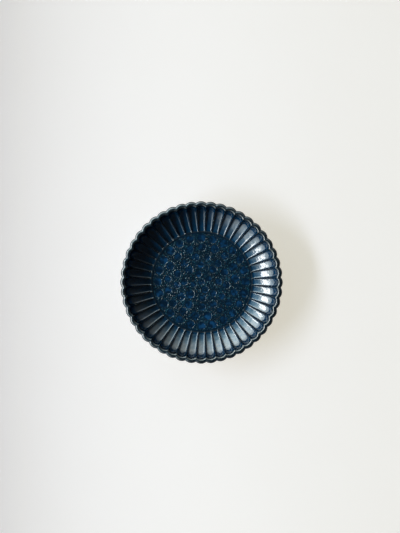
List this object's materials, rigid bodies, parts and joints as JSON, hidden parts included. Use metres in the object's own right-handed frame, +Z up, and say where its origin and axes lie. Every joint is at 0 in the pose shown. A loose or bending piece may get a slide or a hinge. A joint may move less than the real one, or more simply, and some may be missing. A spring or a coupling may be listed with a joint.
{
  "type": "lobed plate",
  "caption": "Small deep plate of glazed stoneware with a scalloped lip, a fluted wall, a raised bead round a flat well and a ring foot.",
  "frame": {"origin": "centre of the plane that the foot ring stands on", "axes": "+Z up along the plate's axis, +X through the middle of a lobe, towards the right of the picture; the plate repeats every 7.5 degrees"},
  "size_m": [0.15, 0.15, 0.028],
  "materials": {
    "stoneware": "bare fired stoneware, warm grey-brown with fine iron specks, matt",
    "inside_glaze": "glossy navy glaze that pools deep blue in hollows and breaks brown-grey where it is thin",
    "outside_glaze": "glossy navy glaze, darker and thinner than inside"
  },
  "bodies": {
    "root": {"stoneware_body": "stoneware", "foot_ring": "stoneware", "inside_glaze": "inside_glaze", "outside_glaze": "outside_glaze", "base_glaze": "outside_glaze"}
  },
  "joints": []
}
